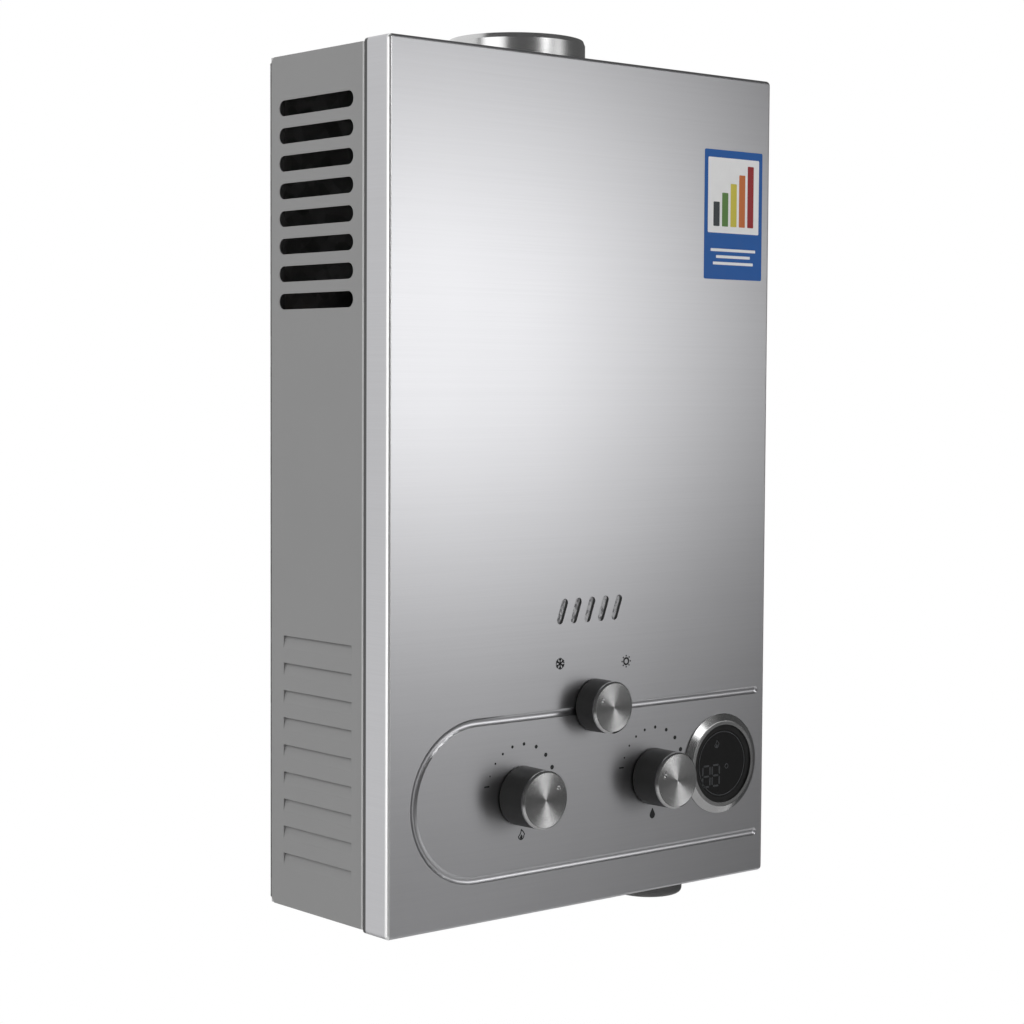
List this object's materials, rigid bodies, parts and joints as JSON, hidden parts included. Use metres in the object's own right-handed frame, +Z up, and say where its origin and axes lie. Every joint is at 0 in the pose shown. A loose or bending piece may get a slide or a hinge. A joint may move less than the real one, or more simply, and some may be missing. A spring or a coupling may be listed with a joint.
{
  "type": "tankless gas water heater",
  "caption": "Wall-hung tankless gas water heater: upright brushed steel case with side vents and louvres, flue collar on top, turning control knobs and a round display near the bottom.",
  "frame": {"origin": "middle of the four wall screw holes, on the wall face of the back plate", "axes": "+Z up, +Y into the wall, -Y out of the front panel, +X to the right seen from the front"},
  "size_m": [0.443, 0.2022, 0.788],
  "materials": {
    "front_steel": "fine horizontal brushing",
    "side_paint": "satin grey",
    "zinc_sheet": "dull zinc",
    "flue_steel": "bright rolled",
    "black_plastic": "fine satin",
    "spun_metal": "spun, bright rim",
    "dark_metal": "satin dark grey",
    "smoked_lens": "gloss",
    "copper": "dull copper",
    "brass": "turned",
    "die_cast": "cast",
    "stainless": "plain",
    "white_ceramic": "unglazed",
    "black_rubber": "matt",
    "mica": "mottled grey",
    "cell_wrap": "gloss wrap",
    "spindle_steel": "turned"
  },
  "bodies": {
    "casing": {"back_plate": "zinc_sheet", "batteries": "cell_wrap", "battery_tube": "black_plastic", "bottom_plate": "zinc_sheet", "burner_bars": "stainless", "burner_frame": "stainless", "cold_inlet_fitting": "brass", "cold_inlet_pipe": "copper", "combustion_chamber": "copper", "cover_screws": "spindle_steel", "diaphragm": "black_rubber", "diaphragm_cover": "brass", "display_bezel": "dark_metal", "display_lens": "smoked_lens", "display_module": "black_plastic", "drain_valve": "brass", "electrode_insulators": "white_ceramic", "electrode_wires": "stainless", "fin_block": "copper", "fitting_nuts": "brass", "flue_collar": "flue_steel", "flue_hood": "zinc_sheet", "front_cover": "front_steel", "gas_inlet_fitting": "brass", "gas_inlet_pipe": "copper", "gas_manifold": "die_cast", "gas_riser": "die_cast", "gas_valve": "die_cast", "hot_outlet_fitting": "brass", "hot_outlet_pipe": "copper", "igniter_box": "black_plastic", "injectors": "brass", "left_side_panel": "side_paint", "microswitch": "black_plastic", "mounting_rails": "zinc_sheet", "overheat_thermostat": "die_cast", "return_bends": "copper", "right_side_panel": "side_paint", "season_valve": "die_cast", "sight_mica": "mica", "solenoid_valve": "black_plastic", "switch_bracket": "zinc_sheet", "top_plate": "zinc_sheet", "valve_shelf": "zinc_sheet", "water_riser": "copper", "water_valve": "brass"},
    "gas_knob": {"gas_knob": "black_plastic", "gas_knob_cap": "spun_metal", "gas_spindle": "spindle_steel"},
    "water_knob": {"water_knob": "black_plastic", "water_knob_cap": "spun_metal", "water_spindle": "spindle_steel"},
    "season_knob": {"season_knob": "black_plastic", "season_knob_cap": "spun_metal", "season_spindle": "spindle_steel"},
    "battery_cap": {"battery_cap": "black_plastic"},
    "push_rod": {"push_rod": "spindle_steel"},
    "switch_lever": {"switch_lever": "spindle_steel"},
    "drain_knob": {"drain_knob": "black_plastic"}
  },
  "joints": [
    {"name": "gas_knob_turn", "type": "hinge", "parent": "casing", "child": "gas_knob", "pos_m": [-0.0777, -0.17, -0.2635], "axis": [0, -1, 0], "range_deg": [-12, 130]},
    {"name": "water_knob_turn", "type": "hinge", "parent": "casing", "child": "water_knob", "pos_m": [0.0777, -0.17, -0.2635], "axis": [0, -1, 0], "range_deg": [-138, 4]},
    {"name": "season_knob_turn", "type": "hinge", "parent": "casing", "child": "season_knob", "pos_m": [0.0065, -0.17, -0.1929], "axis": [0, -1, 0], "range_deg": [-112, 0]},
    {"name": "battery_cap_turn", "type": "hinge", "parent": "casing", "child": "battery_cap", "pos_m": [0.139, -0.1, -0.375], "axis": [0, 0, 1], "range_deg": [0, 60]},
    {"name": "push_rod_slide", "type": "slide", "parent": "casing", "child": "push_rod", "axis": [-1, 0, 0], "range_m": [0, 0.004], "stiffness_N_per_m": 500},
    {"name": "switch_lever_turn", "type": "hinge", "parent": "casing", "child": "switch_lever", "pos_m": [-0.0225, -0.113, -0.245], "axis": [0, 1, 0], "range_deg": [0, 20.63]},
    {"name": "drain_knob_turn", "type": "hinge", "parent": "casing", "child": "drain_knob", "pos_m": [0.062, -0.102, -0.37], "axis": [0, 0, 1], "range_deg": [0, 180]}
  ],
  "couplings": [
    {"joint": "switch_lever_turn", "follows": "push_rod_slide", "rad_per_m": 90}
  ]
}
